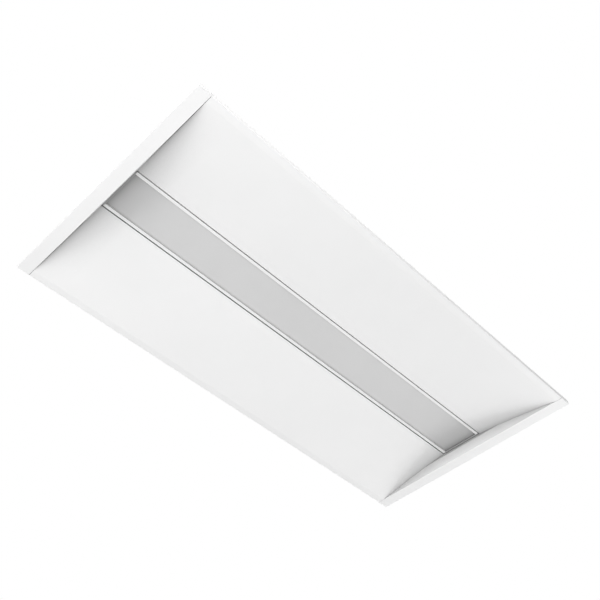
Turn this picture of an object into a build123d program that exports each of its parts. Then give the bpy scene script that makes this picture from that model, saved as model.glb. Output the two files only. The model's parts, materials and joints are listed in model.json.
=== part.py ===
from build123d import *
from math import atan2, degrees, radians, tan
import os

os.makedirs("parts", exist_ok=True)

# Recessed troffer light for a 24 by 48 inch ceiling grid, in millimetres.
# Origin: centre of the face that rests on the grid.
# +X along the fixture, +Y across it towards the lens door's hinge, +Z up into the ceiling.

# ---------------------------------------------------------------- driving dimensions

# Overall
length = 1212.85
width = 603.25
housing_height = 83.0

# Sheet metal
sheet = 0.8
bend_radius = 1.2
seat_gap = 0.3

# Ends: a flat flange, a raked wall, then an upright wall with a return at the top
end_flange = 31.0
wall_lean = 20.0
lean_height = 21.0
top_return = 14.0
reflector_end_gap = 0.8

# Reflectors
side_strip = 17.5
lip_height = 10.4
lip_end_radius = 9.0
recess_depth = 26.5
reflector_bow = 1.4
leg_height = 22.0
leg_rivet_drop = 6.6
leg_rivet_count = 4
leg_rivet_end_inset = 141.0

# Lens door
door_half_width = 57.5
door_side_gap = 2.8
door_end_gap = 1.2
rail_width = 7.2
end_rail_width = 4.0
rail_depth = 4.0
rail_web = 1.2
rail_height = 10.0
rail_edge_radius = 0.5
lens_thickness = 2.0
lens_clearance = 0.3
hinge_pin_radius = 1.25
hinge_pin_seat = 10.0
hinge_pin_reach = 1.2
hinge_pin_chamfer = 0.25
running_clearance = 0.05
press_clearance = 0.02
bush_wall = 0.9
bush_flange_radius = 3.5

# Door retainers and catches
retainer_length = 18.0
retainer_strip = 0.6
retainer_foot = 6.0
retainer_count = 3
retainer_end_inset = 182.4
catch_length = 30.0
catch_end_inset = 284.4
catch_depth = 9.0
magnet_length = 24.0
magnet_height = 6.0
magnet_width = 8.0
catch_rivet_pitch = 18.0
catch_rivet_radius = 1.6
catch_head_radius = 2.2

# Housing pan
pan_foot_inset = 15.6
pan_side_lean = 31.6
pan_flange_edge = 3.5
pan_bend_radius = 2.0
pan_end_tab_height = 20.0
pan_end_tab_length = 400.0
end_screw_inset = 20.0
end_screw_pitch = 100.0
rib_width = 14.0
rib_height = 2.0
rib_round = 1.4
rib_spacing = 100.0
rib_side_inset = 86.0
rib_left_inset = 274.0
rib_right_inset = 75.0

# Corner brackets
bracket_thickness = 1.0
bracket_arm = 12.0
bracket_long = 55.0
bracket_short = 60.0
bracket_edge = 2.5

# LED tray and its hangers
tray_bottom_gap = 3.0
hanger_count = 3
hanger_end_inset = 184.4
hanger_height = 12.2
hanger_width = 24.0
hanger_foot = 12.0
hanger_length = 110.0
tray_screw_spacing = 84.0
hanger_screw_spacing = 50.0

# LED boards
board_width = 24.0
board_thickness = 1.6
board_middle_gap = 5.0
board_end_margin = 9.0
chip_size = 3.0
chip_height = 0.56
chip_window_radius = 1.2
chip_window_height = 0.14
chip_pitch = 24.0
chip_end_margin = 18.0
link_length = 16.0
link_width = 6.0
link_height = 2.5
link_corner = 0.9
connector_length = 12.0
connector_width = 7.0
connector_height = 4.5
connector_round = 0.45
board_screw_count = 3
board_screw_inset = 60.0
board_screw_edge = 8.5

# Driver
driver_length = 240.0
driver_width = 43.0
driver_depth = 29.0
driver_wall = 0.9
driver_corner = 3.0
driver_bottom_round = 1.8
driver_port_spacing = 21.5
driver_ground_port = 7.25
driver_foot = 16.0
driver_foot_hole_inset = 7.0

# Wiring: terminal block, leads and ground
terminal_length = 22.0
terminal_width = 30.0
terminal_height = 16.0
terminal_round = 1.0
terminal_port_radius = 2.0
terminal_port_pitch = 10.0
terminal_gap = 6.0
lead_run = 62.0
lead_straight = 18.6
lead_turn_gap = 20.0
lead_end_straight = 7.2
lead_radius = 1.1
led_lead_radius = 0.9
lead_bend = 12.0
grommet_hole_radius = 5.0
grommet_wall = 1.4
grommet_lip = 1.8
grommet_lip_height = 1.0
grommet_y = 36.0
grommet_offset = 36.0
led_lead_drop = 9.0
ground_offset = 14.0
ground_lead_high = 22.0
ground_lead_low = 44.0

# Access plate over the wiring hole
access_length = 100.0
access_width = 80.0
access_corner = 3.0
access_plate_corner = 3.6
access_margin = 12.0
access_end_margin = 174.0
access_pin_inset = 6.0
access_rivet_radius = 2.5
access_screw_radius = 2.0
access_slot_clearance = 0.5
access_slot_length = 18.0
access_tab_length = 30.0
access_tab_height = 5.0

# Openings for the supply and for tie wires
supply_radius = 11.1
supply_offset = 46.0
knockout_drop = 33.0
tie_hole_radius = 3.5
tie_hole_spacing = 200.0

# Grid clips
clip_spacing = 380.0
clip_arm_width = 14.0
clip_arm_reach = 45.0
clip_thickness = 1.2
clip_hook_depth = 6.0
clip_level = 42.0
clip_bracket_width = 30.0
clip_bracket_height = 15.0
clip_bracket_reach = 22.0
clip_pivot_offset = 11.0
clip_rivet_radius = 2.0

# Fasteners
screw_radius = 1.9
screw_head_radius = 3.8
screw_head_height = 2.2
screw_head_round = 1.3
screw_slot_width = 1.1
screw_slot_depth = 1.1
screw_point = 0.7
screw_clearance = 0.15
screw_length = 8.0
rivet_head_height = 1.4
rivet_head_round = 1.0
rivet_tail_flare = 1.2
rivet_tail_height = 1.4

# ---------------------------------------------------------------- places worked out from them

half_length = length / 2
half_width = width / 2

# End walls
lean_run = tan(radians(wall_lean))
wall_foot_x = half_length - end_flange
wall_x = wall_foot_x - lean_height * lean_run
wall_back_x = wall_x + sheet

# Reflectors
strip_edge_y = half_width - side_strip
leg_y = door_half_width + door_side_gap
leg_top = recess_depth + leg_height
leg_back_y = leg_y + sheet

# Pan
pan_inside_top = housing_height - sheet
pan_flange_top = 2 * sheet
pan_foot_y = half_width - pan_foot_inset
pan_top_y = pan_foot_y - (housing_height - pan_flange_top) * tan(radians(pan_side_lean))
pan_flange_y = half_width - pan_flange_edge
pan_end_x = wall_x - seat_gap
knockout_z = housing_height - knockout_drop

# Door
door_end_x = wall_x - door_end_gap
door_bottom = recess_depth
ledge_top = door_bottom + rail_depth
door_top = door_bottom + rail_height
rail_inner_y = door_half_width - rail_width
rail_inner_x = door_end_x - end_rail_width
lens_top = ledge_top + lens_thickness
lens_half_x = door_end_x - rail_web - lens_clearance
lens_half_y = door_half_width - rail_web - lens_clearance
hinge_y = door_half_width - rail_width / 2
hinge_z = door_bottom + rail_depth / 2

# Tray
tray_top = pan_inside_top - hanger_height
tray_inner_y = leg_back_y + running_clearance
tray_outer_y = tray_inner_y + sheet
tray_inside_top = tray_top - sheet
tray_bottom = recess_depth + sheet + tray_bottom_gap
tray_half_length = pan_end_x - sheet - seat_gap
board_face = tray_inside_top - board_thickness
board_outer_x = tray_half_length - board_end_margin

# Driver bay, in a row between the tray and the pan's side
bay_y = (tray_outer_y + pan_top_y) / 2
access_x = access_end_margin - wall_x
terminal_x = access_x + access_length / 2 + terminal_gap
driver_x = terminal_x + terminal_length + lead_run
driver_far_x = driver_x + driver_length
supply_x = terminal_x + terminal_length + lead_run / 2
supply_y = bay_y + supply_offset
ground_x = terminal_x + terminal_length / 2
ground_y = bay_y - terminal_width / 2 - ground_offset
driver_base_bottom = pan_inside_top - sheet
driver_bottom = driver_base_bottom - driver_depth

# Access plate
access_plate_length = access_length + 2 * access_margin
access_plate_width = access_width + 2 * access_margin
access_plate_bottom = housing_height + seat_gap
access_plate_top = access_plate_bottom + sheet
access_pivot_x = access_x - access_plate_length / 2 + access_pin_inset
access_pivot_y = bay_y - access_plate_width / 2 + access_pin_inset
access_screw_x = access_x + access_plate_length / 2 - access_pin_inset
access_screw_y = bay_y + access_plate_width / 2 - access_pin_inset

# Clips
clip_pivot_x = wall_back_x + clip_pivot_offset
clip_arm_bottom = clip_level + seat_gap
clip_arm_top = clip_arm_bottom + clip_thickness
tie_hole_x = wall_x + top_return / 2

# ---------------------------------------------------------------- shared shapes

cut_margin = 10.0


def spread(reach, count):
    """Evenly spaced places from minus the reach to plus the reach."""
    return [reach * (2 * n / (count - 1) - 1) for n in range(count)]


def folded_section(points, radius, side):
    """Cross-section of a folded sheet: the given face line, thickened to one side."""
    with BuildSketch() as section:
        with BuildLine():
            FilletPolyline(*points, radius=radius)
            offset(amount=sheet, side=side)
        make_face()
    return section.sketch_local


def beyond_walls(clearance):
    """Side view of what lies outside the two end walls, kept clear of them by the clearance."""
    below = -cut_margin
    above = housing_height + cut_margin
    beyond = half_length + cut_margin
    low = wall_foot_x - clearance - below * lean_run
    upright = wall_x - clearance
    with BuildSketch() as region:
        for side in (-1, 1):
            Polygon(
                (side * low, below), (side * upright, lean_height), (side * upright, above),
                (side * beyond, above), (side * beyond, below), align=None,
            )
    return region.sketch_local


def pan_head_screw(shank_radius, head_radius, shank_length):
    """Screw along -Z with the underside of its crossed head at the origin."""
    with BuildPart() as screw:
        with BuildSketch():
            Circle(head_radius)
        extrude(amount=screw_head_height)
        fillet(screw.edges().group_by(Axis.Z)[-1], screw_head_round)
        with BuildSketch(Plane.XY.offset(screw_head_height)):
            Rectangle(head_radius, screw_slot_width)
            Rectangle(screw_slot_width, head_radius)
        extrude(amount=-screw_slot_depth, mode=Mode.SUBTRACT)
        with BuildSketch():
            Circle(shank_radius)
        extrude(amount=-shank_length)
        chamfer(screw.edges().group_by(Axis.Z)[0], screw_point)
    return screw.part


def blind_rivet(shank_radius, head_radius, grip):
    """Rivet along -Z: domed head above the origin, upset tail below the grip."""
    with BuildPart() as rivet:
        with BuildSketch():
            Circle(head_radius)
        extrude(amount=rivet_head_height)
        fillet(rivet.edges().group_by(Axis.Z)[-1], rivet_head_round)
        with BuildSketch():
            Circle(shank_radius)
        extrude(amount=-grip)
        with BuildSketch(Plane.XY.offset(-grip)):
            Circle(shank_radius + rivet_tail_flare)
        extrude(amount=-rivet_tail_height)
    return rivet.part


def save(builder, name):
    """Label a finished piece and write it."""
    builder.part.label = name
    export_step(builder.part, f"parts/{name}.step")


# ---------------------------------------------------------------- end plates

screw_hole_radius = screw_radius + screw_clearance
end_screw_z = pan_inside_top - pan_end_tab_height / 2
end_screw_outer_y = pan_end_tab_length / 2 - end_screw_inset
end_screw_inner_y = end_screw_outer_y - end_screw_pitch
end_screw_ys = [-end_screw_outer_y, -end_screw_inner_y, end_screw_inner_y, end_screw_outer_y]
bush_outer_radius = hinge_pin_radius + running_clearance + bush_wall

with BuildPart() as end_plate_right:
    with BuildSketch(Plane.XZ) as end_section:
        add(folded_section(
            [
                (half_length, 0),
                (wall_foot_x, 0),
                (wall_x, lean_height),
                (wall_x, housing_height),
                (wall_x + top_return, housing_height),
            ],
            bend_radius, Side.RIGHT,
        ))
    extrude(amount=half_width, both=True)
    # Above the flange the plate narrows to the pan's own outline, which it closes.
    with BuildSketch(Plane.YZ) as end_outline:
        Polygon(
            (-half_width, 0), (half_width, 0), (half_width, sheet), (pan_foot_y, sheet),
            (pan_foot_y, pan_flange_top), (pan_top_y, housing_height), (-pan_top_y, housing_height),
            (-pan_foot_y, pan_flange_top), (-pan_foot_y, sheet), (-half_width, sheet), align=None,
        )
    extrude(amount=length, both=True, mode=Mode.INTERSECT)
    # Upturned lips carry on the reflectors' lips to the corners.
    for side in (-1, 1):
        with BuildSketch(Plane.XZ.offset(-side * half_width)) as side_lip:
            with BuildLine():
                Polyline(
                    (wall_foot_x, 0),
                    (wall_foot_x, lip_height),
                    (half_length - lip_end_radius, lip_height),
                )
                TangentArc(
                    (half_length - lip_end_radius, lip_height),
                    (half_length, lip_height - lip_end_radius),
                    tangent=(1, 0),
                )
                Polyline(
                    (half_length, lip_height - lip_end_radius),
                    (half_length, 0),
                    (wall_foot_x, 0),
                )
            make_face()
        extrude(amount=side * sheet)
    with BuildSketch(Plane.YZ.offset(wall_x)) as wall_holes:
        with Locations(*[(y, end_screw_z) for y in end_screw_ys]):
            Circle(screw_hole_radius)
        with Locations((bay_y, knockout_z)):
            Circle(supply_radius)
        with Locations((hinge_y, hinge_z)):
            Circle(bush_outer_radius + press_clearance)
    extrude(amount=sheet, mode=Mode.SUBTRACT)
    with BuildSketch(Plane.XY.offset(housing_height)) as tie_holes:
        with Locations(
            (tie_hole_x, -tie_hole_spacing / 2),
            (tie_hole_x, tie_hole_spacing / 2),
        ):
            Circle(tie_hole_radius)
    extrude(amount=-sheet, mode=Mode.SUBTRACT)
save(end_plate_right, "end_plate_right")

with BuildPart() as end_plate_left:
    add(mirror(end_plate_right.part, about=Plane.YZ, mode=Mode.PRIVATE))
save(end_plate_left, "end_plate_left")

# ---------------------------------------------------------------- reflectors

rivet_z = leg_top - leg_rivet_drop
rivet_xs = spread(wall_x - leg_rivet_end_inset, leg_rivet_count)
catch_xs = [catch_end_inset - wall_x, wall_x - catch_end_inset]
rivet_hole_radius = clip_rivet_radius + running_clearance

with BuildPart() as reflector_far:
    with BuildSketch(Plane.YZ) as reflector_section:
        with BuildLine():
            FilletPolyline(
                (half_width, lip_height), (half_width, 0), (strip_edge_y, 0), radius=bend_radius,
            )
            SagittaArc((strip_edge_y, 0), (leg_y, recess_depth), -reflector_bow)
            Line((leg_y, recess_depth), (leg_y, leg_top))
            offset(amount=sheet, side=Side.RIGHT, kind=Kind.INTERSECTION)
        make_face()
    extrude(amount=wall_foot_x - reflector_end_gap, both=True)
    with BuildSketch(Plane.XZ) as reflector_ends:
        add(beyond_walls(reflector_end_gap))
    extrude(amount=pan_foot_y, both=True, mode=Mode.SUBTRACT)
    with BuildSketch(Plane.XZ) as leg_holes:
        with Locations(*[(x, rivet_z) for x in rivet_xs]):
            Circle(rivet_hole_radius)
    extrude(amount=-(leg_back_y + sheet), mode=Mode.SUBTRACT)
save(reflector_far, "reflector_far")

shelf_z = door_top + seat_gap + magnet_height
catch_rivet_z = (shelf_z + sheet + leg_top) / 2
catch_rivet_xs = [x + n * catch_rivet_pitch / 2 for x in catch_xs for n in (-1, 1)]
catch_hole_radius = catch_rivet_radius + running_clearance

with BuildPart() as reflector_near:
    add(mirror(reflector_far.part, about=Plane.XZ, mode=Mode.PRIVATE))
    with BuildSketch(Plane.XZ) as leg_catch_holes:
        with Locations(*[(x, catch_rivet_z) for x in catch_rivet_xs]):
            Circle(catch_hole_radius)
    extrude(amount=leg_back_y + sheet, mode=Mode.SUBTRACT)
save(reflector_near, "reflector_near")

# ---------------------------------------------------------------- housing pan

hanger_xs = spread(wall_x - hanger_end_inset, hanger_count)
driver_hole_xs = [
    driver_x - driver_foot + driver_foot_hole_inset,
    driver_far_x + driver_foot - driver_foot_hole_inset,
]
bracket_outer_x = half_length - bracket_edge
bracket_outer_y = half_width - bracket_edge
bracket_inner_y = bracket_outer_y - bracket_arm
bracket_inner_x = bracket_outer_x - bracket_arm
bracket_start_x = wall_foot_x - bracket_long
bracket_start_y = bracket_outer_y - bracket_short
flange_cut_x = bracket_start_x - seat_gap
flange_cut_y = bracket_inner_y - seat_gap
rib_start_x = rib_left_inset - wall_x
rib_end_x = wall_x - rib_right_inset
rib_ys = [rib_side_inset - pan_top_y, -rib_spacing / 2, rib_spacing / 2]
rib_places = [((rib_start_x + rib_end_x) / 2, y) for y in rib_ys]

with BuildPart() as housing_pan:
    with BuildSketch(Plane.YZ) as pan_section:
        add(folded_section(
            [
                (-pan_flange_y, pan_flange_top),
                (-pan_foot_y, pan_flange_top),
                (-pan_top_y, housing_height),
                (pan_top_y, housing_height),
                (pan_foot_y, pan_flange_top),
                (pan_flange_y, pan_flange_top),
            ],
            pan_bend_radius, Side.RIGHT,
        ))
    extrude(amount=half_length, both=True)
    with BuildSketch(Plane.XZ) as pan_ends:
        add(beyond_walls(seat_gap))
    extrude(amount=width, both=True, mode=Mode.SUBTRACT)
    # The side flanges stop short of the corner brackets.
    with BuildSketch(Plane.XY.offset(sheet)) as flange_cuts:
        for side_x in (-1, 1):
            for side_y in (-1, 1):
                Polygon(
                    (side_x * flange_cut_x, side_y * flange_cut_y),
                    (side_x * half_length, side_y * flange_cut_y),
                    (side_x * half_length, side_y * half_width),
                    (side_x * flange_cut_x, side_y * half_width), align=None,
                )
    extrude(amount=sheet, mode=Mode.SUBTRACT)
    # Tabs bent down at the ends take the end plates' screws.
    for side_x in (-1, 1):
        with BuildSketch(Plane.YZ.offset(side_x * pan_end_x)) as end_tab:
            with Locations((0, housing_height)):
                Rectangle(
                    pan_end_tab_length, pan_end_tab_height + sheet, align=(Align.CENTER, Align.MAX),
                )
            with Locations(*[(y, end_screw_z) for y in end_screw_ys]):
                Circle(screw_hole_radius, mode=Mode.SUBTRACT)
        extrude(amount=-side_x * sheet)
    with BuildSketch(Plane.XY.offset(housing_height)) as ribs:
        with Locations(*rib_places):
            SlotOverall(rib_end_x - rib_start_x, rib_width)
    extrude(amount=rib_height)
    fillet(housing_pan.edges().group_by(Axis.Z)[-1], rib_round)
    # The ribs are pressed out of the sheet, so they are hollow from below.
    with BuildSketch(Plane.XY.offset(pan_inside_top)) as rib_hollows:
        with Locations(*rib_places):
            SlotOverall(rib_end_x - rib_start_x - 2 * sheet, rib_width - 2 * sheet)
    extrude(amount=rib_height, mode=Mode.SUBTRACT)
    with BuildSketch(Plane.XY.offset(housing_height)) as top_holes:
        with Locations((access_x, bay_y)):
            RectangleRounded(access_length, access_width, access_corner)
        with Locations((supply_x, supply_y)):
            Circle(supply_radius)
        with Locations((access_pivot_x, access_pivot_y)):
            Circle(access_rivet_radius + running_clearance)
        with Locations((access_screw_x, access_screw_y)):
            Circle(access_screw_radius + screw_clearance)
        with Locations(*[(x, 0) for x in hanger_xs]):
            with GridLocations(1, hanger_screw_spacing, 1, 2):
                Circle(screw_hole_radius)
        with Locations(*[(x, bay_y) for x in driver_hole_xs]):
            Circle(screw_hole_radius)
        with Locations((ground_x, ground_y)):
            Circle(screw_hole_radius)
    extrude(amount=-sheet, mode=Mode.SUBTRACT)
save(housing_pan, "housing_pan")

screw = pan_head_screw(screw_radius, screw_head_radius, screw_length)

with BuildPart() as end_plate_screws:
    for side_x in (-1, 1):
        with Locations(*[
            Plane(origin=(side_x * wall_back_x, y, end_screw_z), z_dir=(side_x, 0, 0))
            for y in end_screw_ys
        ]):
            add(screw)
save(end_plate_screws, "end_plate_screws")

with BuildPart() as knockout_slugs:
    for side_x in (-1, 1):
        with BuildSketch(Plane.YZ.offset(side_x * wall_x)) as slug_outline:
            with Locations((bay_y, knockout_z)):
                Circle(supply_radius - press_clearance)
        extrude(amount=side_x * sheet)
save(knockout_slugs, "knockout_slugs")

with BuildPart() as corner_brackets:
    with BuildSketch(Plane.XY.offset(sheet)) as bracket_outlines:
        for side_x in (-1, 1):
            for side_y in (-1, 1):
                Polygon(*[
                    (side_x * x, side_y * y)
                    for x, y in (
                        (bracket_start_x, bracket_inner_y),
                        (bracket_start_x, bracket_outer_y),
                        (bracket_outer_x, bracket_outer_y),
                        (bracket_outer_x, bracket_start_y),
                        (bracket_inner_x, bracket_start_y),
                        (bracket_inner_x, bracket_inner_y),
                    )
                ], align=None)
    extrude(amount=bracket_thickness)
save(corner_brackets, "corner_brackets")

# ---------------------------------------------------------------- LED tray and hangers

foot_offset = hanger_width / 2 + hanger_foot / 2
grommet_x = hanger_width / 2 + hanger_foot + grommet_offset
board_length = board_outer_x - board_middle_gap / 2
board_middle_x = (board_middle_gap / 2 + board_outer_x) / 2
board_screw_xs = [
    board_middle_x + x for x in spread(board_length / 2 - board_screw_inset, board_screw_count)
]

with BuildPart() as led_tray:
    with BuildSketch(Plane.YZ) as tray_section:
        add(folded_section(
            [
                (tray_outer_y, tray_bottom),
                (tray_outer_y, tray_top),
                (-tray_outer_y, tray_top),
                (-tray_outer_y, tray_bottom),
            ],
            bend_radius, Side.LEFT,
        ))
    extrude(amount=tray_half_length, both=True)
    with BuildSketch(Plane.XZ) as side_holes:
        with Locations(*[(x, rivet_z) for x in rivet_xs]):
            Circle(rivet_hole_radius)
    extrude(amount=2 * tray_outer_y, both=True, mode=Mode.SUBTRACT)
    with BuildSketch(Plane.XZ) as catch_holes:
        with Locations(*[(x, catch_rivet_z) for x in catch_rivet_xs]):
            Circle(catch_hole_radius)
    extrude(amount=2 * tray_outer_y, mode=Mode.SUBTRACT)
    with BuildSketch(Plane.XY.offset(tray_top)) as tray_top_holes:
        with Locations(*[(x, 0) for x in hanger_xs]):
            with GridLocations(2 * foot_offset, tray_screw_spacing, 2, 2):
                Circle(screw_hole_radius)
        with Locations((grommet_x, grommet_y)):
            Circle(grommet_hole_radius)
        with Locations(*[(side * x, -board_screw_edge) for x in board_screw_xs for side in (-1, 1)]):
            Circle(screw_hole_radius)
    extrude(amount=-sheet, mode=Mode.SUBTRACT)
save(led_tray, "led_tray")

for number, hanger_x in enumerate(hanger_xs, start=1):
    with BuildPart() as tray_hanger:
        with BuildSketch(Plane.XZ) as hat_section:
            with Locations((hanger_x, 0)):
                add(folded_section(
                    [
                        (-hanger_width / 2 - hanger_foot, tray_top + sheet),
                        (-hanger_width / 2, tray_top + sheet),
                        (-hanger_width / 2, pan_inside_top),
                        (hanger_width / 2, pan_inside_top),
                        (hanger_width / 2, tray_top + sheet),
                        (hanger_width / 2 + hanger_foot, tray_top + sheet),
                    ],
                    bend_radius, Side.RIGHT,
                ))
        extrude(amount=hanger_length / 2, both=True)
        with BuildSketch(Plane.XY.offset(housing_height)) as hanger_holes:
            with Locations((hanger_x, 0)):
                with GridLocations(1, hanger_screw_spacing, 1, 2):
                    Circle(screw_hole_radius)
                with GridLocations(2 * foot_offset, tray_screw_spacing, 2, 2):
                    Circle(screw_hole_radius)
        extrude(amount=-housing_height, mode=Mode.SUBTRACT)
    save(tray_hanger, f"tray_hanger_{number}")

with BuildPart() as hanger_screws:
    with Locations(*[
        (x, side * hanger_screw_spacing / 2, housing_height) for x in hanger_xs for side in (-1, 1)
    ]):
        add(screw)
save(hanger_screws, "hanger_screws")

with BuildPart() as tray_screws:
    with Locations(*[
        Plane(
            origin=(x + side_x * foot_offset, side_y * tray_screw_spacing / 2, tray_inside_top),
            z_dir=(0, 0, -1),
        )
        for x in hanger_xs for side_x in (-1, 1) for side_y in (-1, 1)
    ]):
        add(screw)
save(tray_screws, "tray_screws")

leg_rivet = blind_rivet(clip_rivet_radius, 2 * clip_rivet_radius, tray_outer_y - leg_y)

with BuildPart() as reflector_rivets:
    for side in (-1, 1):
        with Locations(*[
            Plane(origin=(x, side * leg_y, rivet_z), z_dir=(0, -side, 0)) for x in rivet_xs
        ]):
            add(leg_rivet)
save(reflector_rivets, "reflector_rivets")

# ---------------------------------------------------------------- LED boards

chip_count = int((board_length - 2 * chip_end_margin) / chip_pitch) + 1
chip_bottom = board_face - chip_height

for name, side in (("left", -1), ("right", 1)):
    with BuildPart() as led_board:
        with BuildSketch(Plane.XY.offset(board_face)) as board_outline:
            with Locations((side * board_middle_x, 0)):
                Rectangle(board_length, board_width)
            with Locations(*[(side * x, -board_screw_edge) for x in board_screw_xs]):
                Circle(screw_hole_radius, mode=Mode.SUBTRACT)
        extrude(amount=board_thickness)
    save(led_board, f"led_board_{name}")

    with BuildPart() as led_chips:
        with BuildSketch(Plane.XY.offset(board_face)) as chip_bodies:
            with Locations((side * board_middle_x, 0)):
                with GridLocations(chip_pitch, 1, chip_count, 1):
                    Rectangle(chip_size, chip_size)
        extrude(amount=-chip_height)
        with BuildSketch(Plane.XY.offset(chip_bottom)) as chip_windows:
            with Locations((side * board_middle_x, 0)):
                with GridLocations(chip_pitch, 1, chip_count, 1):
                    Circle(chip_window_radius)
        extrude(amount=-chip_window_height)
    save(led_chips, f"led_chips_{name}")

with BuildPart() as board_screws:
    with Locations(*[
        Plane(origin=(side * x, -board_screw_edge, board_face), z_dir=(0, 0, -1))
        for x in board_screw_xs for side in (-1, 1)
    ]):
        add(screw)
save(board_screws, "board_screws")

with BuildPart() as board_link:
    with BuildSketch(Plane.XY.offset(board_face)) as link_outline:
        with Locations((0, -board_screw_edge)):
            RectangleRounded(link_length, link_width, link_corner)
    extrude(amount=-link_height)
save(board_link, "board_link")

connector_y = board_width / 2 - connector_width / 2
lead_port_z = board_face - connector_height / 2
led_lead_offset = 2 * led_lead_radius

with BuildPart() as board_connector:
    with BuildSketch(Plane.XY.offset(board_face)) as connector_outline:
        with Locations((grommet_x, connector_y)):
            Rectangle(connector_length, connector_width)
    extrude(amount=-connector_height)
    fillet(board_connector.edges().group_by(Axis.Z)[0], connector_round)
save(board_connector, "board_connector")

# ---------------------------------------------------------------- driver

with BuildPart() as driver_base:
    with BuildSketch(Plane.XY.offset(driver_base_bottom)) as base_outline:
        with Locations(((driver_x + driver_far_x) / 2, bay_y)):
            RectangleRounded(driver_length + 2 * driver_foot, driver_width, driver_corner)
        with Locations(*[(x, bay_y) for x in driver_hole_xs]):
            Circle(screw_hole_radius, mode=Mode.SUBTRACT)
    extrude(amount=sheet)
save(driver_base, "driver_base")

with BuildPart() as driver_case:
    with BuildSketch(Plane.XY.offset(driver_base_bottom)) as case_outline:
        with Locations(((driver_x + driver_far_x) / 2, bay_y)):
            RectangleRounded(driver_length, driver_width, driver_corner)
    extrude(amount=-driver_depth)
    fillet(driver_case.edges().group_by(Axis.Z)[0], driver_bottom_round)
    offset(amount=-driver_wall, openings=driver_case.faces().sort_by(Axis.Z)[-1])
save(driver_case, "driver_case")

with BuildPart() as driver_screws:
    with Locations(*[(x, bay_y, housing_height) for x in driver_hole_xs]):
        add(screw)
save(driver_screws, "driver_screws")

# ---------------------------------------------------------------- supply wiring

terminal_middle = pan_inside_top - terminal_height / 2
terminal_end_x = terminal_x + terminal_length

with BuildPart() as terminal_block:
    with BuildSketch(Plane.XY.offset(pan_inside_top)) as block_outline:
        with Locations((terminal_x + terminal_length / 2, bay_y)):
            Rectangle(terminal_length, terminal_width)
    extrude(amount=-terminal_height)
    fillet(terminal_block.edges().group_by(Axis.Z)[0], terminal_round)
    with BuildSketch(Plane.YZ.offset(terminal_x)) as supply_ports:
        with Locations((bay_y, terminal_middle)):
            with GridLocations(terminal_port_pitch, 1, 3, 1):
                Circle(terminal_port_radius)
    extrude(amount=terminal_length / 2, mode=Mode.SUBTRACT)
save(terminal_block, "terminal_block")


turn_share = 0.45


def turn_radii(points):
    """For each corner of a route, the radius that takes up this share of its shorter run."""
    radii = []
    for before, corner, after in zip(points, points[1:], points[2:]):
        run_in = Vector(*corner) - Vector(*before)
        run_out = Vector(*after) - Vector(*corner)
        half_turn = radians(run_in.get_angle(run_out)) / 2
        radii.append(turn_share * min(run_in.length, run_out.length) / tan(half_turn))
    return radii


def save_lead(name, points, radius):
    """A round lead along straight runs joined by arcs."""
    radii = turn_radii(points)
    with BuildPart() as lead:
        with BuildLine() as route:
            FilletPolyline(*points, radius=radii)
        with BuildSketch(Plane(origin=points[0], z_dir=Vector(*points[1]) - Vector(*points[0]))):
            Circle(radius)
        sweep()
    save(lead, name)
    print(f"{name}: {route.wires()[0].length:.0f} mm long, tightest bend {min(radii):.1f} mm")


driver_port_z = driver_bottom + driver_depth / 2

for name, side in (("lead_line", -1), ("lead_neutral", 1)):
    block_y = bay_y + side * terminal_port_pitch
    port_y = bay_y + side * driver_port_spacing / 2
    save_lead(name, [
        (terminal_end_x, block_y, terminal_middle),
        (terminal_end_x + lead_straight, block_y, terminal_middle),
        (driver_x - lead_straight, port_y, driver_port_z),
        (driver_x, port_y, driver_port_z),
    ], lead_radius)

ground_lead_z = pan_inside_top - lead_radius - seat_gap
ground_port_z = driver_bottom + driver_ground_port

save_lead("lead_ground", [
    (driver_x, bay_y, ground_port_z),
    (driver_x - lead_straight, bay_y, ground_port_z),
    (ground_x + ground_lead_low, ground_y, ground_lead_z - lead_bend),
    (ground_x + ground_lead_high, ground_y, ground_lead_z),
    (ground_x + screw_head_radius, ground_y, ground_lead_z),
], lead_radius)

ground_screw_length = 2 * sheet + seat_gap + screw_point

with BuildPart() as ground_screw:
    with BuildSketch(Plane.XY.offset(pan_inside_top)) as ground_washer:
        with Locations((ground_x, ground_y)):
            Circle(screw_head_radius)
    extrude(amount=-sheet)
    with Locations(Plane(origin=(ground_x, ground_y, pan_inside_top - sheet), z_dir=(0, 0, -1))):
        add(pan_head_screw(screw_radius, screw_head_radius, ground_screw_length))
save(ground_screw, "ground_screw")

for name, side in (("lead_led_plus", -1), ("lead_led_minus", 1)):
    down_x = grommet_x + side * led_lead_offset
    port_y = bay_y + side * driver_port_spacing / 2
    over_z = (tray_top + pan_inside_top) / 2
    dip_z = tray_inside_top - led_lead_drop
    save_lead(name, [
        (driver_far_x, port_y, driver_port_z),
        (down_x, port_y, driver_port_z),
        (down_x, tray_outer_y + lead_turn_gap, over_z),
        (down_x, grommet_y, over_z),
        (down_x, grommet_y, dip_z),
        (down_x, (grommet_y + board_width / 2) / 2, dip_z),
        (down_x, board_width / 2 + lead_end_straight, lead_port_z),
        (down_x, board_width / 2, lead_port_z),
    ], led_lead_radius)

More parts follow.
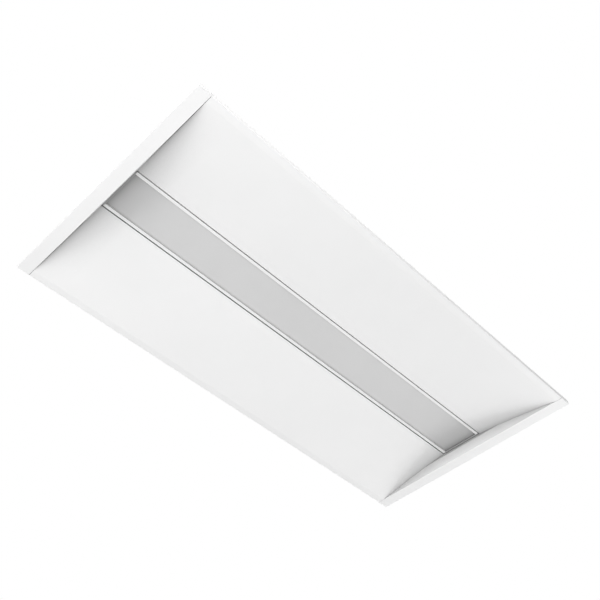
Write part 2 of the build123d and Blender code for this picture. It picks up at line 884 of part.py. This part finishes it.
with BuildPart() as lead_grommet:
    with BuildSketch(Plane.XY.offset(tray_inside_top - grommet_lip_height)) as lower_lip:
        with Locations((grommet_x, grommet_y)):
            Circle(grommet_hole_radius + grommet_lip)
    extrude(amount=grommet_lip_height)
    with BuildSketch(Plane.XY.offset(tray_inside_top)) as neck:
        with Locations((grommet_x, grommet_y)):
            Circle(grommet_hole_radius - press_clearance)
    extrude(amount=sheet)
    with BuildSketch(Plane.XY.offset(tray_top)) as upper_lip:
        with Locations((grommet_x, grommet_y)):
            Circle(grommet_hole_radius + grommet_lip)
    extrude(amount=grommet_lip_height)
    with BuildSketch(Plane.XY.offset(tray_inside_top - grommet_lip_height)) as bore:
        with Locations((grommet_x, grommet_y)):
            Circle(grommet_hole_radius - grommet_wall)
    extrude(amount=sheet + 2 * grommet_lip_height, mode=Mode.SUBTRACT)
save(lead_grommet, "lead_grommet")

# ---------------------------------------------------------------- access plate

screw_bearing = atan2(access_screw_y - access_pivot_y, access_screw_x - access_pivot_x)
slot_angle = degrees(screw_bearing) - 90
slot_width = 2 * (access_screw_radius + access_slot_clearance)

with BuildPart() as access_plate:
    with BuildSketch(Plane.XY.offset(access_plate_bottom)) as plate_outline:
        with Locations((access_x, bay_y)):
            RectangleRounded(access_plate_length, access_plate_width, access_plate_corner)
        with Locations((access_pivot_x, access_pivot_y)):
            Circle(access_rivet_radius + running_clearance, mode=Mode.SUBTRACT)
        # The slot follows the swing, so that the plate leaves its screw.
        with Locations((access_screw_x, access_screw_y)):
            Circle(slot_width / 2, mode=Mode.SUBTRACT)
        with Locations(Location((access_screw_x, access_screw_y), slot_angle)):
            Rectangle(
                access_slot_length, slot_width,
                align=(Align.MIN, Align.CENTER), mode=Mode.SUBTRACT,
            )
    extrude(amount=sheet)
    with BuildSketch(Plane.XY.offset(access_plate_bottom)) as finger_tab:
        with Locations((access_x, bay_y + access_plate_width / 2)):
            Rectangle(access_tab_length, sheet, align=(Align.CENTER, Align.MAX))
    extrude(amount=access_tab_height)
save(access_plate, "access_plate")

access_grip = access_plate_top + seat_gap - pan_inside_top

with BuildPart() as access_rivet:
    with Locations((access_pivot_x, access_pivot_y, access_plate_top + seat_gap)):
        add(blind_rivet(access_rivet_radius, 2 * access_rivet_radius, access_grip))
save(access_rivet, "access_rivet")

with BuildPart() as access_screw:
    with Locations((access_screw_x, access_screw_y, access_plate_top + seat_gap)):
        add(pan_head_screw(access_screw_radius, screw_head_radius, screw_length))
save(access_screw, "access_screw")

# ---------------------------------------------------------------- lens door

with BuildPart() as door_rail_near:
    with BuildSketch(Plane.YZ) as rail_section:
        Polygon(
            (-door_half_width, door_bottom), (-rail_inner_y, door_bottom),
            (-rail_inner_y, ledge_top), (-door_half_width + rail_web, ledge_top),
            (-door_half_width + rail_web, door_top), (-door_half_width, door_top), align=None,
        )
        fillet(rail_section.vertices().group_by(Axis.Y)[0], rail_edge_radius)
    extrude(amount=rail_inner_x, both=True)
save(door_rail_near, "door_rail_near")

with BuildPart() as door_rail_far:
    add(mirror(door_rail_near.part, about=Plane.XZ, mode=Mode.PRIVATE))
    for side in (-1, 1):
        with BuildSketch(Plane.YZ.offset(side * rail_inner_x)) as pin_hole:
            with Locations((hinge_y, hinge_z)):
                Circle(hinge_pin_radius + press_clearance)
        extrude(amount=-side * (hinge_pin_seat - end_rail_width), mode=Mode.SUBTRACT)
save(door_rail_far, "door_rail_far")

with BuildPart() as door_end_rail_right:
    with BuildSketch(Plane.XZ) as end_rail_section:
        Polygon(
            (rail_inner_x, door_bottom), (door_end_x, door_bottom),
            (door_end_x, ledge_top), (rail_inner_x, ledge_top), align=None,
        )
        fillet(end_rail_section.vertices().group_by(Axis.Y)[0], rail_edge_radius)
    extrude(amount=door_half_width, both=True)
    with BuildSketch(Plane.YZ.offset(door_end_x)) as end_web:
        with Locations((0, ledge_top)):
            Rectangle(
                2 * (door_half_width - rail_web), door_top - ledge_top,
                align=(Align.CENTER, Align.MIN),
            )
    extrude(amount=-rail_web)
    with BuildSketch(Plane.YZ.offset(door_end_x)) as end_pin_hole:
        with Locations((hinge_y, hinge_z)):
            Circle(hinge_pin_radius + press_clearance)
    extrude(amount=-end_rail_width, mode=Mode.SUBTRACT)
save(door_end_rail_right, "door_end_rail_right")

with BuildPart() as door_end_rail_left:
    add(mirror(door_end_rail_right.part, about=Plane.YZ, mode=Mode.PRIVATE))
save(door_end_rail_left, "door_end_rail_left")

with BuildPart() as lens:
    with BuildSketch(Plane.XY.offset(ledge_top)) as lens_outline:
        Rectangle(2 * lens_half_x, 2 * lens_half_y)
    extrude(amount=lens_thickness)
save(lens, "lens")

web_inner_y = door_half_width - rail_web

with BuildPart() as lens_retainers:
    for side in (-1, 1):
        for x in spread(door_end_x - retainer_end_inset, retainer_count):
            with BuildSketch(Plane.YZ.offset(x)) as retainer_section:
                Polygon(*[
                    (side * y, z)
                    for y, z in (
                        (web_inner_y, lens_top),
                        (web_inner_y, door_top),
                        (web_inner_y - retainer_strip, door_top),
                        (web_inner_y - retainer_strip, lens_top + retainer_strip),
                        (web_inner_y - retainer_foot, lens_top + retainer_strip),
                        (web_inner_y - retainer_foot, lens_top),
                    )
                ], align=None)
            extrude(amount=retainer_length / 2, both=True)
save(lens_retainers, "lens_retainers")

pin_length = hinge_pin_seat + door_end_gap + 2 * sheet + hinge_pin_reach

with BuildPart() as hinge_pins:
    for side in (-1, 1):
        with BuildSketch(Plane.YZ.offset(side * (door_end_x - hinge_pin_seat))) as pin_section:
            with Locations((hinge_y, hinge_z)):
                Circle(hinge_pin_radius)
        extrude(amount=side * pin_length)
    chamfer(hinge_pins.edges().filter_by(GeomType.CIRCLE), hinge_pin_chamfer)
save(hinge_pins, "hinge_pins")

with BuildPart() as hinge_bushes:
    for side in (-1, 1):
        with BuildSketch(Plane.YZ.offset(side * wall_x)) as bush_neck:
            with Locations((hinge_y, hinge_z)):
                Circle(bush_outer_radius)
                Circle(hinge_pin_radius + running_clearance, mode=Mode.SUBTRACT)
        extrude(amount=side * sheet)
        with BuildSketch(Plane.YZ.offset(side * wall_back_x)) as bush_flange:
            with Locations((hinge_y, hinge_z)):
                Circle(bush_flange_radius)
                Circle(hinge_pin_radius + running_clearance, mode=Mode.SUBTRACT)
        extrude(amount=side * sheet)
save(hinge_bushes, "hinge_bushes")

# ---------------------------------------------------------------- door catches

with BuildPart() as catch_bracket:
    with BuildSketch(Plane.YZ) as catch_section:
        add(folded_section(
            [(-leg_y, leg_top), (-leg_y, shelf_z), (-leg_y + catch_depth, shelf_z)],
            bend_radius, Side.LEFT,
        ))
    extrude(amount=catch_length / 2, both=True)
    with BuildSketch(Plane.XZ) as bracket_holes:
        with Locations((-catch_rivet_pitch / 2, catch_rivet_z), (catch_rivet_pitch / 2, catch_rivet_z)):
            Circle(catch_hole_radius)
    extrude(amount=leg_back_y, mode=Mode.SUBTRACT)

with BuildPart() as catch_brackets:
    with Locations(*[(x, 0, 0) for x in catch_xs]):
        add(catch_bracket.part)
save(catch_brackets, "catch_brackets")

with BuildPart() as catch_magnets:
    with BuildSketch(Plane.XY.offset(shelf_z)) as magnet_outlines:
        with Locations(*[(x, -leg_y + seat_gap) for x in catch_xs]):
            Rectangle(magnet_length, magnet_width, align=(Align.CENTER, Align.MIN))
    extrude(amount=-magnet_height)
save(catch_magnets, "catch_magnets")

with BuildPart() as catch_rivets:
    with Locations(*[
        Plane(origin=(x, -leg_y + sheet, catch_rivet_z), z_dir=(0, 1, 0)) for x in catch_rivet_xs
    ]):
        add(blind_rivet(catch_rivet_radius, catch_head_radius, tray_outer_y - leg_y + sheet))
save(catch_rivets, "catch_rivets")

# ---------------------------------------------------------------- grid clips

clip_corners = [(1, 1), (-1, 1), (-1, -1), (1, -1)]
pivot_y = clip_spacing / 2
clip_bracket_bottom = clip_level - clip_bracket_height

with BuildPart() as clip_brackets:
    for side_x, side_y in clip_corners:
        with BuildSketch(Plane.XZ.offset(-side_y * pivot_y)) as clip_bracket_section:
            Polygon(*[
                (side_x * x, z)
                for x, z in (
                    (wall_back_x, clip_bracket_bottom),
                    (wall_back_x, clip_level),
                    (wall_back_x + clip_bracket_reach, clip_level),
                    (wall_back_x + clip_bracket_reach, clip_level - clip_thickness),
                    (wall_back_x + clip_thickness, clip_level - clip_thickness),
                    (wall_back_x + clip_thickness, clip_bracket_bottom),
                )
            ], align=None)
        extrude(amount=clip_bracket_width / 2, both=True)
    with BuildSketch(Plane.XY.offset(clip_level)) as clip_rivet_holes:
        with Locations(*[(x * clip_pivot_x, y * pivot_y) for x, y in clip_corners]):
            Circle(rivet_hole_radius)
    extrude(amount=-clip_thickness, mode=Mode.SUBTRACT)
save(clip_brackets, "clip_brackets")

for number, (side_x, side_y) in enumerate(clip_corners, start=1):
    with BuildPart() as grid_clip:
        with BuildSketch(Plane.XY.offset(clip_arm_bottom)) as clip_arm:
            with Locations((side_x * clip_pivot_x, side_y * (pivot_y - clip_arm_reach / 2))):
                Rectangle(clip_arm_width, clip_arm_reach)
            with Locations((side_x * clip_pivot_x, side_y * pivot_y)):
                Circle(clip_arm_width / 2)
                Circle(rivet_hole_radius, mode=Mode.SUBTRACT)
        extrude(amount=clip_thickness)
        hook_y = side_y * (pivot_y - clip_arm_reach + clip_thickness / 2)
        with BuildSketch(Plane.XY.offset(clip_arm_top)) as clip_hook:
            with Locations((side_x * clip_pivot_x, hook_y)):
                Rectangle(clip_arm_width, clip_thickness)
        extrude(amount=-(clip_thickness + clip_hook_depth))
    save(grid_clip, f"grid_clip_{number}")

clip_rivet_grip = clip_arm_top + seat_gap - clip_level + clip_thickness

with BuildPart() as clip_rivets:
    with Locations(*[
        (x * clip_pivot_x, y * pivot_y, clip_arm_top + seat_gap) for x, y in clip_corners
    ]):
        add(blind_rivet(clip_rivet_radius, 2 * clip_rivet_radius, clip_rivet_grip))
save(clip_rivets, "clip_rivets")
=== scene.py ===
import json
import math

import bpy
from mathutils import Matrix, Vector


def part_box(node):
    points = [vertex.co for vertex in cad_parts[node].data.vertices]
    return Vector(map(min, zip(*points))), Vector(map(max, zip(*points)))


# Recessed troffer light, seen from below. Everything is in metres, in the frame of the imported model.

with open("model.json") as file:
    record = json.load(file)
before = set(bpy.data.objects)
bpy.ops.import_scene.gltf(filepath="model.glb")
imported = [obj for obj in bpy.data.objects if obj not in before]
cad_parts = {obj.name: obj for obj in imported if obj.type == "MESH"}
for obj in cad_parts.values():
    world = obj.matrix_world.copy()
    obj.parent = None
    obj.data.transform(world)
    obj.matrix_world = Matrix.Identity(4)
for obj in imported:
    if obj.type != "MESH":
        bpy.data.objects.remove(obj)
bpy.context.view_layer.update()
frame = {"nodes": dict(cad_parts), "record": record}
scene = bpy.context.scene

# ---------------------------------------------------------------- camera

LENS_MM = 51.10
SENSOR_MM = 36.0
CAMERA_PLACE = Vector((-0.9812, -0.9367, -1.4487))
CAMERA_YAW = math.radians(44.88)
CAMERA_PITCH = math.radians(49.605)
CLIP_NEAR = 0.01
CLIP_FAR = 100

forward = Vector((
    math.cos(CAMERA_PITCH) * math.cos(CAMERA_YAW),
    math.cos(CAMERA_PITCH) * math.sin(CAMERA_YAW),
    math.sin(CAMERA_PITCH),
))
right = Vector((math.sin(CAMERA_YAW), -math.cos(CAMERA_YAW), 0))
up = right.cross(forward)

camera_data = bpy.data.cameras.new("camera")
camera_data.lens = LENS_MM
camera_data.sensor_width = SENSOR_MM
camera_data.clip_start = CLIP_NEAR
camera_data.clip_end = CLIP_FAR
camera = bpy.data.objects.new("camera", camera_data)
scene.collection.objects.link(camera)
turn = Matrix((right, up, -forward)).transposed().to_4x4()
camera.matrix_world = Matrix.Translation(CAMERA_PLACE) @ turn
scene.camera = camera
scene.view_settings.view_transform = "Standard"

# ---------------------------------------------------------------- node materials

# Blender's Mix node has one set of sockets per data type, told apart by number.
MIX_VECTOR_A, MIX_VECTOR_B, MIX_VECTOR_OUT = 4, 5, 1
MIX_COLOUR_A, MIX_COLOUR_B, MIX_COLOUR_OUT = 6, 7, 2

# Noise gathers round 0.5. These are the parts of its range that materials spread out.
CLOUD_SPAN = (0.35, 0.65)
GRAIN_SPAN = (0.3, 0.7)

SHADE_SAMPLES = 16


class Paint:
    """One procedural material, written as calls that return sockets."""

    def __init__(self, name):
        self.material = bpy.data.materials.new(name)
        self.material.use_nodes = True
        self.tree = self.material.node_tree
        self.tree.nodes.clear()
        self.output = self.add("ShaderNodeOutputMaterial")
        self.surface = self.add("ShaderNodeBsdfPrincipled")
        self.link(self.surface.outputs["BSDF"], self.output.inputs["Surface"])
        self.place = self.add("ShaderNodeTexCoord").outputs["Object"]

    def add(self, kind, **settings):
        node = self.tree.nodes.new(kind)
        for key, value in settings.items():
            setattr(node, key, value)
        return node

    def link(self, source, target):
        self.tree.links.new(source, target)

    def fixed(self, **values):
        """Constant values on the shader's own sockets."""
        for key, value in values.items():
            self.surface.inputs[key.replace("_", " ")].default_value = value
        return self

    def stretched(self, stretch):
        mapping = self.add("ShaderNodeMapping")
        mapping.inputs["Scale"].default_value = stretch
        self.link(self.place, mapping.inputs["Vector"])
        return mapping.outputs["Vector"]

    def noise(self, size, detail=3.0, roughness=0.5, stretch=(1, 1, 1)):
        """Noise whose grains are about this size, in metres."""
        node = self.add("ShaderNodeTexNoise")
        node.inputs["Scale"].default_value = 1 / size
        node.inputs["Detail"].default_value = detail
        node.inputs["Roughness"].default_value = roughness
        self.link(self.stretched(stretch), node.inputs["Vector"])
        return node.outputs["Fac"]

    def cells(self, size, warp):
        """Cells of about this size, in metres, each of its own colour, with warped edges."""
        bend = self.add("ShaderNodeTexNoise")
        bend.inputs["Scale"].default_value = 1 / size
        place = self.stretched((1, 1, 1))
        self.link(place, bend.inputs["Vector"])
        mixer = self.add("ShaderNodeMix", data_type="VECTOR")
        mixer.inputs["Factor"].default_value = warp
        self.link(place, mixer.inputs[MIX_VECTOR_A])
        self.link(bend.outputs["Color"], mixer.inputs[MIX_VECTOR_B])
        node = self.add("ShaderNodeTexVoronoi")
        node.inputs["Scale"].default_value = 1 / size
        self.link(mixer.outputs[MIX_VECTOR_OUT], node.inputs["Vector"])
        return node.outputs["Color"]

    def spread(self, value, low, high, to_low=0.0, to_high=1.0):
        """Maps the value from one range onto another, clamped."""
        node = self.add("ShaderNodeMapRange")
        self.link(value, node.inputs["Value"])
        node.inputs["From Min"].default_value = low
        node.inputs["From Max"].default_value = high
        node.inputs["To Min"].default_value = to_low
        node.inputs["To Max"].default_value = to_high
        return node.outputs["Result"]

    def mix(self, factor, first, second, blend="MIX"):
        """Colour between two colours or sockets."""
        node = self.add("ShaderNodeMix", data_type="RGBA", blend_type=blend)
        targets = (node.inputs["Factor"], node.inputs[MIX_COLOUR_A], node.inputs[MIX_COLOUR_B])
        for source, target in zip((factor, first, second), targets):
            if isinstance(source, bpy.types.NodeSocket):
                self.link(source, target)
            elif isinstance(source, (int, float)):
                target.default_value = source
            else:
                target.default_value = (*source, 1)
        return node.outputs[MIX_COLOUR_OUT]

    def math(self, operation, first, second):
        node = self.add("ShaderNodeMath", operation=operation)
        for source, target in zip((first, second), node.inputs):
            if isinstance(source, bpy.types.NodeSocket):
                self.link(source, target)
            else:
                target.default_value = source
        return node.outputs[0]

    def shaded(self, body, reach, stops):
        """The body colour with painted shade: darker where corners and seams within reach close it in.

        Each stop pairs how open the place is, from 0 to 1, with the share of the colour left.
        """
        openness = self.add("ShaderNodeAmbientOcclusion", samples=SHADE_SAMPLES)
        openness.inputs["Distance"].default_value = reach
        ramp = self.add("ShaderNodeValToRGB")
        elements = ramp.color_ramp.elements
        while len(elements) < len(stops):
            elements.new(0.5)
        for element, (place, share) in zip(elements, stops):
            element.position = place
            element.color = (share, share, share, 1)
        self.link(openness.outputs["AO"], ramp.inputs["Fac"])
        return self.mix(1.0, body, ramp.outputs["Color"], blend="MULTIPLY")

    def ends(self, body, near, far, shades):
        """The body colour with painted shade towards both ends of a piece that lies along X.

        It starts at near from the middle and is strongest at far. Each shade is the share
        that it takes there, and the power by which it grows.
        """
        axes = self.add("ShaderNodeSeparateXYZ")
        self.link(self.place, axes.inputs["Vector"])
        along = self.spread(self.math("ABSOLUTE", axes.outputs["X"], 0.0), near, far)
        left = 1.0
        for share, power in shades:
            taken = self.math("MULTIPLY", self.math("POWER", along, power), share)
            left = self.math("SUBTRACT", left, taken)
        return self.mix(1.0, body, left, blend="MULTIPLY")

    def colour(self, socket):
        self.link(socket, self.surface.inputs["Base Color"])
        return self

    def gloss(self, socket):
        self.link(socket, self.surface.inputs["Roughness"])
        return self

    def bump(self, height, depth, strength=0.5):
        """Relief of this depth, in metres, where the height runs from 0 to 1."""
        node = self.add("ShaderNodeBump")
        node.inputs["Strength"].default_value = strength
        node.inputs["Distance"].default_value = depth
        self.link(height, node.inputs["Height"])
        self.link(node.outputs["Normal"], self.surface.inputs["Normal"])
        return self


def grey(value, warmth=0.0):
    return (value * (1 + warmth), value, value * (1 - warmth))


def enamel(name, tone, roughness, reach, stops):
    """Powder coat: fine orange peel and faint clouding, with painted shade in corners and seams."""
    cloud_size, peel_size, peel_depth = 0.16, 0.0018, 0.00003
    paint = Paint(name)
    cloud = paint.spread(paint.noise(cloud_size, detail=4), *CLOUD_SPAN)
    coat = paint.mix(cloud, grey(tone - 0.008), grey(tone + 0.004))
    paint.colour(paint.shaded(coat, reach, stops))
    peel = paint.noise(peel_size, detail=2, roughness=0.6)
    paint.gloss(paint.spread(peel, *GRAIN_SPAN, roughness - 0.05, roughness + 0.06))
    paint.bump(peel, peel_depth)
    return paint


def zinc_sheet(name):
    """Hot-dip galvanised sheet: warped spangles of different brightness, with fine rolling lines."""
    spangle_size, line_size, stain_size, line_depth = 0.014, 0.0012, 0.22, 0.00001
    paint = Paint(name).fixed(Metallic=0.85)
    spangle = paint.cells(spangle_size, warp=0.25)
    lines = paint.noise(line_size, detail=2, stretch=(0.15, 1, 1))
    tint = paint.mix(0.22, grey(0.60, -0.01), spangle)
    level = paint.add("ShaderNodeRGBToBW")
    paint.link(spangle, level.inputs["Color"])
    body = paint.mix(level.outputs["Val"], grey(0.52, -0.02), grey(0.70, -0.015))
    stain = paint.spread(paint.noise(stain_size, detail=5, roughness=0.6), 0.45, 0.75)
    dull = paint.mix(stain, body, grey(0.50))
    paint.colour(paint.mix(0.06, dull, tint))
    gloss = paint.spread(level.outputs["Val"], 0.2, 0.8, 0.30, 0.46)
    paint.gloss(paint.math("ADD", gloss, paint.spread(lines, *GRAIN_SPAN, -0.03, 0.04)))
    paint.bump(lines, line_depth, 0.4)
    return paint


def metal(name, tone, warmth, roughness, stretch=(1, 1, 1), streak=0.0008, metallic=1.0):
    """Bare or plated metal with fine lines or grain and a little tarnish."""
    tarnish_size, tarnish_share, line_depth = 0.012, 0.12, 0.00001
    paint = Paint(name).fixed(Metallic=metallic)
    lines = paint.noise(streak, detail=3, roughness=0.65, stretch=stretch)
    tarnish = paint.spread(paint.noise(tarnish_size, detail=4), 0.5, 0.8)
    body = paint.mix(
        paint.spread(lines, *GRAIN_SPAN), grey(tone * 0.92, warmth), grey(tone * 1.04, warmth),
    )
    worn = paint.math("MULTIPLY", tarnish, tarnish_share)
    paint.colour(paint.mix(worn, body, grey(tone * 0.45, 0.04)))
    paint.gloss(paint.spread(lines, 0.25, 0.75, roughness - 0.06, roughness + 0.08))
    paint.bump(lines, line_depth)
    return paint


def moulded(name, colour, roughness, grain=0.0006, relief=0.00001):
    """Moulded plastic, rubber or insulation: fine grain and slight clouding of the colour."""
    cloud_size = 0.01
    paint = Paint(name)
    cloud = paint.noise(cloud_size, detail=3)
    lighter = tuple(min(1.0, c * 1.06 + 0.004) for c in colour)
    darker = tuple(c * 0.93 for c in colour)
    paint.colour(paint.mix(paint.spread(cloud, *CLOUD_SPAN), darker, lighter))
    texture = paint.noise(grain, detail=2)
    paint.gloss(paint.spread(texture, *GRAIN_SPAN, roughness - 0.05, roughness + 0.07))
    paint.bump(texture, relief)
    return paint


def frosted(name, tone, reach, stops, end_reach=None, end_shades=()):
    """Frosted plastic: a fine frost over a soft grey body, with painted shade in corners and towards its
    ends.
    """
    frost_size, cloud_size, frost_depth = 0.0007, 0.09, 0.00002
    paint = Paint(name).fixed(IOR=1.49)
    frost = paint.noise(frost_size, detail=2, roughness=0.7)
    cloud = paint.spread(paint.noise(cloud_size, detail=3), *CLOUD_SPAN)
    body = paint.mix(cloud, grey(tone - 0.008), grey(tone + 0.008))
    body = paint.mix(paint.spread(frost, *GRAIN_SPAN, 0.0, 0.25), body, grey(tone + 0.04))
    # Painted shade: darker in corners and seams, and towards both ends of a piece along X.
    body = paint.shaded(body, reach, stops)
    if end_reach:
        body = paint.ends(body, *end_reach, end_shades)
    paint.colour(body)
    paint.gloss(paint.spread(frost, *GRAIN_SPAN, 0.42, 0.55))
    paint.bump(frost, frost_depth)
    return paint


def circuit_board(name):
    """White solder mask over faint copper lands that run along the board."""
    land_length, land_width, land_gap, land_depth = 0.024, 0.0058, 0.0003, 0.00003
    paint = Paint(name)
    lands = paint.add("ShaderNodeTexBrick", offset=0.0)
    lands.inputs["Scale"].default_value = 1.0
    lands.inputs["Brick Width"].default_value = land_length
    lands.inputs["Row Height"].default_value = land_width
    lands.inputs["Mortar Size"].default_value = land_gap
    lands.inputs["Mortar Smooth"].default_value = 0.3
    paint.link(paint.place, lands.inputs["Vector"])
    cloud = paint.noise(0.02, detail=3)
    mask = paint.mix(paint.spread(cloud, *CLOUD_SPAN), (0.84, 0.85, 0.83), (0.88, 0.89, 0.87))
    paint.colour(paint.mix(lands.outputs["Fac"], mask, (0.70, 0.72, 0.68)))
    paint.gloss(paint.spread(cloud, *GRAIN_SPAN, 0.22, 0.32))
    paint.bump(lands.outputs["Fac"], land_depth)
    return paint


def led_package(name, window_top):
    """White package with a yellow phosphor window on its lower face."""
    grain_size, grain_depth, window_blur = 0.0004, 0.00001, 0.00002
    paint = Paint(name)
    axes = paint.add("ShaderNodeSeparateXYZ")
    paint.link(paint.place, axes.inputs["Vector"])
    below = paint.spread(axes.outputs["Z"], window_top - window_blur, window_top + window_blur, 1.0, 0.0)
    grain = paint.noise(grain_size, detail=2)
    speckle = paint.spread(grain, *GRAIN_SPAN)
    phosphor = paint.mix(speckle, (0.86, 0.66, 0.12), (0.95, 0.80, 0.22))
    package = paint.mix(speckle, grey(0.80, 0.01), grey(0.88, 0.01))
    paint.colour(paint.mix(below, package, phosphor))
    paint.gloss(paint.spread(grain, *GRAIN_SPAN, 0.25, 0.4))
    paint.bump(grain, grain_depth, 0.4)
    return paint


chip_low, chip_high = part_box("led_chips_left")
WINDOW_HEIGHT = 0.00014

# The photo's shade in corners, seams and lens ends is partly painted here, not only lit. The values
# come from comparing brightness between the photo and the render, and stay dark under other light.
SHADE_REACH = 0.08
DRIVER_SHADE_REACH = 0.01
DEEP_SHADE = ((0.50, 0.32), (0.85, 0.71), (1.0, 1.0))
RAIL_SHADE = ((0.30, 0.86), (0.50, 0.60), (0.72, 0.90), (1.0, 1.0))
LENS_SHADE = ((0.40, 0.60), (0.70, 0.90), (0.90, 1.0))
LIGHT_SHADE = ((0.40, 0.70), (1.0, 1.0))
LENS_END_REACH = (0.430, 0.565)
WIDE_END_SHADE = (0.28, 2)
CLOSE_END_SHADE = (0.28, 10)

paints = {
    "white_enamel": enamel("white_enamel", 0.90, 0.48, SHADE_REACH, DEEP_SHADE),
    # The rails' coat is the white enamel with a milder painted shade of its own.
    "rail_enamel": enamel("rail_enamel", 0.90, 0.48, SHADE_REACH, RAIL_SHADE),
    "driver_enamel": enamel("driver_enamel", 0.78, 0.40, DRIVER_SHADE_REACH, LIGHT_SHADE),
    "galvanised_steel": zinc_sheet("galvanised_steel"),
    "spring_steel": metal("spring_steel", 0.45, -0.02, 0.34, stretch=(1, 0.08, 1)),
    "zinc_fasteners": metal("zinc_fasteners", 0.66, -0.01, 0.30, streak=0.0005),
    "aluminium_rivets": metal("aluminium_rivets", 0.75, -0.005, 0.38, streak=0.0004),
    "green_screw": metal("green_screw", 0.30, 0.0, 0.35, streak=0.0005, metallic=0.6),
    "frosted_acrylic": frosted(
        "frosted_acrylic", 0.65, SHADE_REACH, LENS_SHADE,
        LENS_END_REACH, (WIDE_END_SHADE, CLOSE_END_SHADE),
    ),
    # The end caps' grey, darker than the lens, stands for the shade in the corners they sit in; the deep
    # painted shade comes on top.
    "end_cap_grey": frosted("end_cap_grey", 0.60, SHADE_REACH, DEEP_SHADE),
    "board_white": circuit_board("board_white"),
    "led_phosphor": led_package("led_phosphor", chip_low.z + WINDOW_HEIGHT),
    "connector_plastic": moulded("connector_plastic", (0.88, 0.88, 0.86), 0.32),
    "terminal_plastic": moulded("terminal_plastic", (0.82, 0.82, 0.78), 0.36),
    "nylon": moulded("nylon", (0.84, 0.82, 0.77), 0.45),
    "black_rubber": moulded("black_rubber", (0.035, 0.035, 0.035), 0.6, grain=0.0003),
    "magnet_ferrite": moulded("magnet_ferrite", (0.10, 0.10, 0.11), 0.62, grain=0.0004, relief=0.00004),
    "insulation_black": moulded("insulation_black", (0.03, 0.03, 0.03), 0.38),
    "insulation_white": moulded("insulation_white", (0.86, 0.86, 0.85), 0.38),
    "insulation_green": moulded("insulation_green", (0.04, 0.32, 0.10), 0.38),
    "insulation_red": moulded("insulation_red", (0.55, 0.035, 0.03), 0.38),
    "insulation_blue": moulded("insulation_blue", (0.03, 0.10, 0.45), 0.38),
}

slot_of = {part["node"]: part["material_slot"] for part in frame["record"]["subparts"]}
for node_name, node in frame["nodes"].items():
    material = paints[slot_of[node_name]].material
    if not node.material_slots:
        node.data.materials.append(material)
    for material_slot in node.material_slots:
        material_slot.material = material

# ---------------------------------------------------------------- floor


def seen_ray(tree):
    """1 for rays that show the background to the camera, straight or through metal and glass."""
    ray = tree.nodes.new("ShaderNodeLightPath")
    seen = ray.outputs["Is Camera Ray"]
    for kind in ("Is Glossy Ray", "Is Transmission Ray"):
        either = tree.nodes.new("ShaderNodeMath")
        either.operation = "MAXIMUM"
        tree.links.new(seen, either.inputs[0])
        tree.links.new(ray.outputs[kind], either.inputs[1])
        seen = either.outputs[0]
    return seen


FLOOR_Z = -3.2
FLOOR_REACH = 60.0
FLOOR_MOTTLE = 0.5
# The floor shows this much brighter to the camera and in metal and glass. It adds no diffuse light.
FLOOR_GLOW = 0.35

floor_mesh = bpy.data.meshes.new("floor")
floor_mesh.from_pydata(
    [(x * FLOOR_REACH, y * FLOOR_REACH, FLOOR_Z) for x, y in ((-1, -1), (1, -1), (1, 1), (-1, 1))],
    [], [(0, 1, 2, 3)],
)
floor = bpy.data.objects.new("floor", floor_mesh)
scene.collection.objects.link(floor)
floor_paint = Paint("floor_paint").fixed(Roughness=0.9, Emission_Color=(1, 1, 1, 1))
floor_paint.colour(floor_paint.mix(floor_paint.noise(FLOOR_MOTTLE), grey(0.89), grey(0.91)))
floor_paint.link(
    floor_paint.spread(seen_ray(floor_paint.tree), 0, 1, 0, FLOOR_GLOW),
    floor_paint.surface.inputs["Emission Strength"],
)
floor_mesh.materials.append(floor_paint.material)

# ---------------------------------------------------------------- light

AMBIENT = 0.3
BACKGROUND = 1.0

world = bpy.data.worlds.new("studio")
world.use_nodes = True
scene.world = world
sky = world.node_tree.nodes["Background"]
sky.inputs["Color"].default_value = (1, 1, 1, 1)
brightness = world.node_tree.nodes.new("ShaderNodeMapRange")
brightness.inputs["To Min"].default_value = AMBIENT
brightness.inputs["To Max"].default_value = BACKGROUND
world.node_tree.links.new(seen_ray(world.node_tree), brightness.inputs["Value"])
world.node_tree.links.new(brightness.outputs["Result"], sky.inputs["Strength"])


def soft_lamp(name, place, side, watts, target=(0, 0, 0)):
    """A square area lamp that the camera doesn't see."""
    data = bpy.data.lights.new(name, "AREA")
    data.size = side
    data.energy = watts
    lamp = bpy.data.objects.new(name, data)
    lamp.location = place
    lamp.rotation_euler = (Vector(target) - Vector(place)).to_track_quat("-Z", "Y").to_euler()
    lamp.visible_camera = False
    scene.collection.objects.link(lamp)


soft_lamp("left_lamp", place=(-3.4, 0, -0.5), side=1.6, watts=84)
soft_lamp("right_lamp", place=(3.4, 0, -0.5), side=1.6, watts=93)
soft_lamp("front_lamp", place=(-1.7, -1.7, -1.6), side=2.0, watts=28.5)
soft_lamp("top_lamp", place=(1.2, 2.0, 3.2), side=3.0, watts=80)
# Lights the long edge on the photo's upper right, which the others leave dark.
soft_lamp("edge_lamp", place=(-0.6, -1.5, 0.3), side=0.4, watts=7, target=(-0.6, -0.3, 0))
